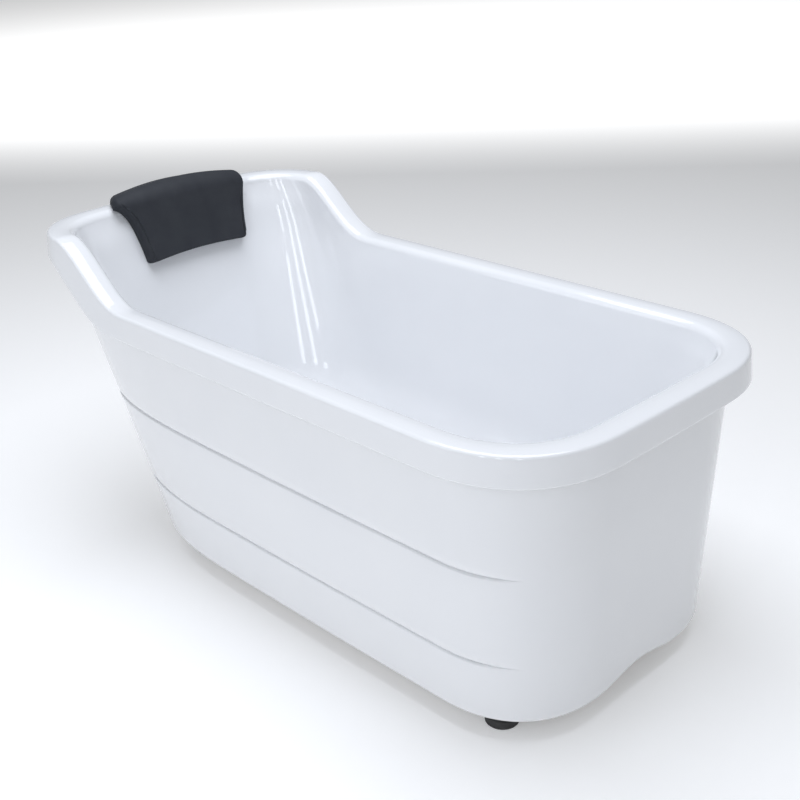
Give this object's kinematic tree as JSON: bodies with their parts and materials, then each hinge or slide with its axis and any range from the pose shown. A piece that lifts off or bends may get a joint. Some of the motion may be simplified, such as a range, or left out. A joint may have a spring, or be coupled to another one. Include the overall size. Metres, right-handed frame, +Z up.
{
  "type": "freestanding bathtub",
  "caption": "Small slipper bathtub: glossy basin with raised head end and turned-down rim, lapped apron, steel frame on levelling feet, waste, overflow and padded head pillow.",
  "frame": {"origin": "on the floor under the centre of the rim", "axes": "+X towards the low foot end with the waste, +Y across the tub to the side away from the main view, +Z up"},
  "size_m": [1.3999, 0.72, 0.7109],
  "materials": {
    "acrylic": "gloss white cast acrylic",
    "board": "sealed chipboard",
    "galvanised": "galvanised steel",
    "zinc": "zinc plated",
    "chrome": "polished chrome",
    "black_plastic": "moulded black plastic",
    "black_rubber": "moulded rubber",
    "grey_plastic": "moulded light grey plastic",
    "pillow_foam": "self-skinned polyurethane foam, fine grain",
    "clear_cup": "soft clear vinyl"
  },
  "bodies": {
    "tub": {"basin_floor": "acrylic", "basin_side_near": "acrylic", "basin_side_far": "acrylic", "basin_head": "acrylic", "basin_foot": "acrylic", "apron": "acrylic", "base_board": "board", "side_tube_near": "galvanised", "side_tube_far": "galvanised", "cross_tube_head": "galvanised", "cross_tube_middle": "galvanised", "cross_tube_foot": "galvanised", "tube_caps": "black_plastic", "board_screws": "zinc", "apron_brackets": "galvanised", "bracket_screws": "zinc", "weld_nuts": "zinc", "lock_nuts": "zinc", "waste_flange": "chrome", "flange_seal": "black_rubber", "waste_washer": "black_rubber", "waste_nut": "grey_plastic", "waste_tee": "grey_plastic", "overflow_cover": "chrome", "overflow_seal": "black_rubber", "overflow_elbow": "grey_plastic", "overflow_hose": "grey_plastic", "hose_nuts": "grey_plastic"},
    "foot_head_near": {"pad_head_near": "black_rubber", "stem_head_near": "zinc"},
    "foot_head_far": {"pad_head_far": "black_rubber", "stem_head_far": "zinc"},
    "foot_foot_near": {"pad_foot_near": "black_rubber", "stem_foot_near": "zinc"},
    "foot_foot_far": {"pad_foot_far": "black_rubber", "stem_foot_far": "zinc"},
    "plug": {"plug_cap": "chrome", "plug_seal": "black_rubber", "plug_stem": "zinc"},
    "pillow": {"head_pillow": "pillow_foam", "suction_cups": "clear_cup"}
  },
  "joints": [
    {"name": "level_head_near", "type": "slide", "parent": "tub", "child": "foot_head_near", "axis": [0, 0, -1], "range_m": [-0.008, 0.015]},
    {"name": "level_head_far", "type": "slide", "parent": "tub", "child": "foot_head_far", "axis": [0, 0, -1], "range_m": [-0.008, 0.015]},
    {"name": "level_foot_near", "type": "slide", "parent": "tub", "child": "foot_foot_near", "axis": [0, 0, -1], "range_m": [-0.008, 0.015]},
    {"name": "level_foot_far", "type": "slide", "parent": "tub", "child": "foot_foot_far", "axis": [0, 0, -1], "range_m": [-0.008, 0.015]},
    {"name": "plug_lift", "type": "slide", "parent": "tub", "child": "plug", "axis": [0, 0, 1], "range_m": [0, 0.009]},
    {"name": "pillow_lift", "type": "slide", "parent": "tub", "child": "pillow", "axis": [0, 0, 1], "range_m": [0, 0.12]}
  ]
}
